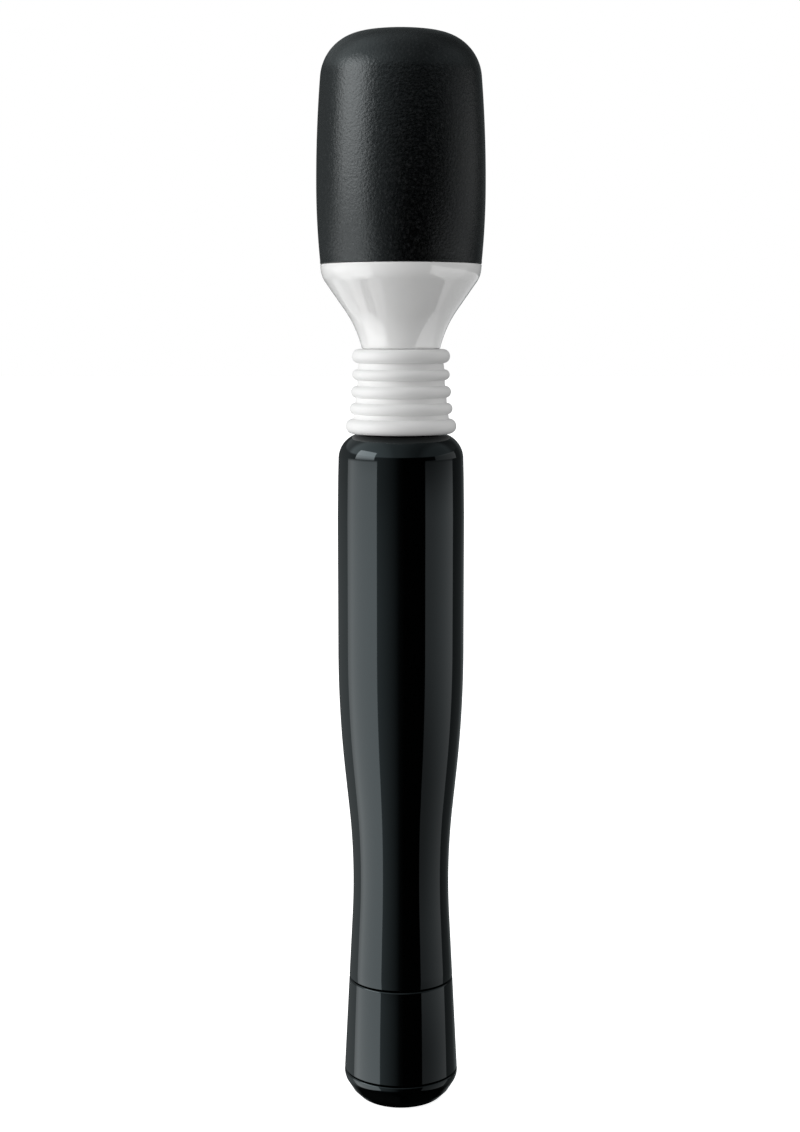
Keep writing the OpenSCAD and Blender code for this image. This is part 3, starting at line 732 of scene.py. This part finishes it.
def wire_pieces(materials):
    """Round-wire springs in place of the CAD's faceted ones, and the two leads up to the motor."""
    path, wire = helix(*NECK_SPRING["path"]), NECK_SPRING["wire"]
    bending_wire(materials, "neck_spring", path, wire, "spring")
    for node in ("lead_red", "lead_black"):
        low, high = (Vector(corner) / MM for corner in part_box(node))
        x, wire = (low.x + high.x) / 2, (high.x - low.x) / 2
        steps = round((high.z - low.z) / LEAD_STEP)
        path = [(x, 0, low.z + (high.z - low.z) * i / steps) for i in range(steps + 1)]
        bending_wire(materials, node, path, wire, node)
    path, wire = helix(*CONTACT_SPRING["path"]), CONTACT_SPRING["wire"]
    coil = tube("look_contact_spring", path, wire)
    coil.data.materials.append(materials["spring"])
    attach(coil, "cap")
    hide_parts("contact_spring")


def paint_cad_nodes(frame, materials):
    """Give every CAD node that still shows its slot's material."""
    slots = {s["node"]: s["material_slot"] for s in frame["record"]["subparts"]}
    for node, obj in frame["nodes"].items():
        obj.data.materials.clear()
        obj.data.materials.append(materials[slots[node]])


# ---------------------------------------------------------------- stage


def add_camera():
    """The camera that took the photograph, in front of the object and a little above its neck."""
    data = bpy.data.cameras.new("camera")
    data.lens = CAMERA_LENS
    data.sensor_width = 36
    data.clip_start = 0.01
    camera = bpy.data.objects.new("camera", data)
    camera.location = (CAMERA_X * MM, CAMERA_Y * MM, CAMERA_Z * MM)
    camera.rotation_euler = (math.radians(90 - CAMERA_PITCH), 0, 0)
    bpy.context.scene.collection.objects.link(camera)
    bpy.context.scene.camera = camera


def light_fade(tree, split, axis, span, strength):
    """Multiply what feeds the strength socket by a soft step along one axis. Returns the socket
    that the next fade feeds."""
    ramp = tree.nodes.new("ShaderNodeMapRange")
    ramp.interpolation_type = "SMOOTHSTEP"
    for key, value in zip(SPAN_SOCKETS, span):
        ramp.inputs[key].default_value = value
    tree.links.new(split.outputs[axis], ramp.inputs["Value"])
    product = tree.nodes.new("ShaderNodeMath")
    product.operation = "MULTIPLY"
    product.inputs[1].default_value = 1
    tree.links.new(ramp.outputs["Result"], product.inputs[0])
    tree.links.new(product.outputs["Value"], strength)
    return product.inputs[1]


def panel(name, azimuths, heights, radiance, *fades):
    """An upright softbox on a circle round the object, unseen by the camera. Azimuths count from
    the front, positive to the right. Each fade scales its radiance along an axis, as (axis, from,
    to, factor at from, factor at to)."""
    turns = [math.radians(azimuth) for azimuth in azimuths]
    ends = [Vector((math.sin(a), -math.cos(a), 0)) * PANEL_REACH for a in turns]
    place = (ends[0] + ends[1]) / 2
    data = bpy.data.lights.new(name, "AREA")
    data.shape = "RECTANGLE"
    data.size = (ends[1] - ends[0]).length
    data.size_y = heights[1] - heights[0]
    data.energy = radiance * math.pi * data.size * data.size_y
    data.use_nodes = True
    tree = data.node_tree
    split = tree.nodes.new("ShaderNodeSeparateXYZ")
    position = tree.nodes.new("ShaderNodeNewGeometry").outputs["Position"]
    tree.links.new(position, split.inputs["Vector"])
    strength = tree.nodes["Emission"].inputs["Strength"]
    for axis, *span in fades:
        strength = light_fade(tree, split, axis, span, strength)
    lamp = bpy.data.objects.new(name, data)
    lamp.location = (place.x, place.y, (heights[0] + heights[1]) / 2)
    lamp.rotation_euler = (-place).to_track_quat("-Z", "Y").to_euler()
    lamp.visible_camera = False
    bpy.context.scene.collection.objects.link(lamp)
    return lamp


def collar_lights(collar):
    """Softboxes for the collar alone: two low ones that its funnel mirrors, and a fill that evens
    out its shaded side."""
    mirrored = [panel(*softbox) for softbox in COLLAR_MIRRORED]
    fill = panel(*COLLAR_FILL)
    group = bpy.data.collections.new("collar_only")
    group.objects.link(collar)
    for lamp in (*mirrored, fill):
        lamp.visible_diffuse = lamp is fill
        lamp.visible_glossy = lamp is not fill
        lamp.light_linking.receiver_collection = group


class Sky:
    """Short hand for building the world's node tree. Numbers and sockets mix freely."""

    def __init__(self, tree):
        self.nodes, self.wire = tree.nodes, tree.links.new
        self.nodes.clear()
        split = self.nodes.new("ShaderNodeSeparateXYZ")
        coord = self.nodes.new("ShaderNodeTexCoord")
        self.wire(coord.outputs["Generated"], split.inputs["Vector"])
        self.x, self.y, self.z = (split.outputs[axis] for axis in "XYZ")

    def math(self, operation, first, second):
        """Result of one operation on two numbers or sockets."""
        node = self.nodes.new("ShaderNodeMath")
        node.operation = operation
        for socket, value in zip(node.inputs, (first, second)):
            if isinstance(value, (int, float)):
                socket.default_value = value
            else:
                self.wire(value, socket)
        return node.outputs["Value"]

    def fade(self, source, span):
        """Soft step of a source, span being (from, to, level before, level after)."""
        node = self.nodes.new("ShaderNodeMapRange")
        node.interpolation_type = "SMOOTHSTEP"
        for key, value in zip(SPAN_SOCKETS, span):
            node.inputs[key].default_value = value
        self.wire(source, node.inputs["Value"])
        return node.outputs["Result"]

    def profile(self, place, stops, width):
        """Radiance along a place from 0 to 1, from stops at -width / 2 to width / 2."""
        ramp = self.nodes.new("ShaderNodeValToRGB")
        elements = ramp.color_ramp.elements
        elements[1].position = 1
        for i, (at, value) in enumerate((stops[0], stops[-1], *stops[1:-1])):
            element = elements[i] if i < 2 else elements.new(at / width + 0.5)
            element.color = (value, value, value, 1)
        self.wire(place, ramp.inputs["Fac"])
        return ramp.outputs["Color"]

    def background(self, colour, strength=None):
        """A background of one colour, its strength 1 unless a socket drives it."""
        node = self.nodes.new("ShaderNodeBackground")
        node.inputs["Color"].default_value = (*colour, 1)
        if strength:
            self.wire(strength, node.inputs["Strength"])
        return node.outputs["Background"]

    def either(self, switch, no, yes):
        """The shader yes where switch is 1, and no where it is 0."""
        node = self.nodes.new("ShaderNodeMixShader")
        for socket, source in zip(node.inputs, (switch, no, yes)):
            self.wire(source, socket)
        return node.outputs["Shader"]


def room_level(sky):
    """Radiance of the dim room that the object mirrors: walls below, ceiling above."""
    azimuth = sky.math("ARCTAN2", sky.x, sky.math("MULTIPLY", sky.y, -1))
    turn = sky.math("ADD", sky.math("DIVIDE", azimuth, 2 * math.pi), 0.5)
    walls = sky.math("MULTIPLY", sky.profile(turn, ROOM, 360), sky.fade(sky.z, WALL_FOOT))
    walls = sky.math("MULTIPLY", walls, sky.fade(sky.z, WALL_HEAD))
    above = sky.fade(sky.z, CEILING_RISE)
    across = sky.math("ADD", sky.math("MULTIPLY", sky.x, 0.5), 0.5)
    overhead = sky.math("MULTIPLY", above, sky.fade(sky.y, CEILING_BACK))
    ceiling = sky.math("MULTIPLY", overhead, sky.profile(across, CEILING, 2))
    return sky.math("ADD", sky.math("MULTIPLY", walls, sky.math("SUBTRACT", 1, above)), ceiling)


def add_world():
    """White to the camera and an even grey to matt surfaces. In reflections, a dim room: the spill
    of the softboxes beside them, nearly black in front, and a pale ceiling."""
    world = bpy.data.worlds.new("studio")
    world.use_nodes = True
    world.cycles.sampling_method = "NONE"
    bpy.context.scene.world = world
    sky = Sky(world.node_tree)
    ray = sky.nodes.new("ShaderNodeLightPath").outputs
    room = sky.background(ROOM_TINT, room_level(sky))
    matt = sky.background(WHITE, sky.fade(sky.z, AMBIENT))
    unseen = sky.either(ray["Is Diffuse Ray"], room, matt)
    all_rays = sky.either(ray["Is Camera Ray"], unseen, sky.background(WHITE))
    sky.wire(all_rays, sky.nodes.new("ShaderNodeOutputWorld").inputs["Surface"])


def add_floor():
    """Pale seamless floor: it glows a little, so that only the contact shadow shows on it."""
    corners = [(x * FLOOR_HALF, y * FLOOR_HALF, 0) for x, y in ((-1, -1), (1, -1), (1, 1), (-1, 1))]
    mesh = bpy.data.meshes.new("floor")
    mesh.from_pydata(corners, [], [(0, 1, 2, 3)])
    floor = link("floor", mesh)
    n = Nodes("floor_white")
    n.wire(
        n.ramp(n.noise(6, 3), [(0.3, (0.90, 0.90, 0.90)), (0.7, (0.94, 0.94, 0.94))]),
        n.shader.inputs["Base Color"],
    )
    n.put(Roughness=0.8, Specular_IOR_Level=0.1)
    n.put(Emission_Color=(*WHITE, 1), Emission_Strength=FLOOR_GLOW)
    n.material.cycles.emission_sampling = "NONE"
    floor.data.materials.append(n.material)
    floor.visible_glossy = False
    floor.visible_diffuse = False
    floor.visible_shadow = False


def set_view():
    """Plain display colours, so that the pale floor and the whites stay as lit."""
    scene = bpy.context.scene
    scene.view_settings.view_transform = "Standard"
    scene.view_settings.look = "None"


# ---------------------------------------------------------------- build

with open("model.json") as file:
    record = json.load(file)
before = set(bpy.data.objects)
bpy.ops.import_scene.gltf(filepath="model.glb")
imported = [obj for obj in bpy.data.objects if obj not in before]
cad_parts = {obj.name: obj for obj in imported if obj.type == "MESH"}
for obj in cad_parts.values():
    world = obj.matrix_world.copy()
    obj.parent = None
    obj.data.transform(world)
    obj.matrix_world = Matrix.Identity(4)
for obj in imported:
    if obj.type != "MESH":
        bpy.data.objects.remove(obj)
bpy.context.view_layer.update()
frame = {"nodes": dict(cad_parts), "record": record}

add_camera()
set_view()
add_world()
for softbox in SOFTBOXES:
    panel(*softbox)
add_floor()

materials = all_materials()
paint_cad_nodes(frame, materials)
turned_piece(materials, "head_cover", cover_outline(), "head", "soft_black")
collar_lights(turned_piece(materials, "head_collar", collar_outline(), "head", "white_gloss"))
turned_piece(materials, "handle_shell", handle_outline(), "handle", "gloss_black")
turned_piece(materials, "dial_sleeve", sleeve_outline(), "dial", "gloss_black")
turned_piece(materials, "dial_foot", foot_outline(), "dial", "gloss_black")
neck_pieces(materials)
wire_pieces(materials)
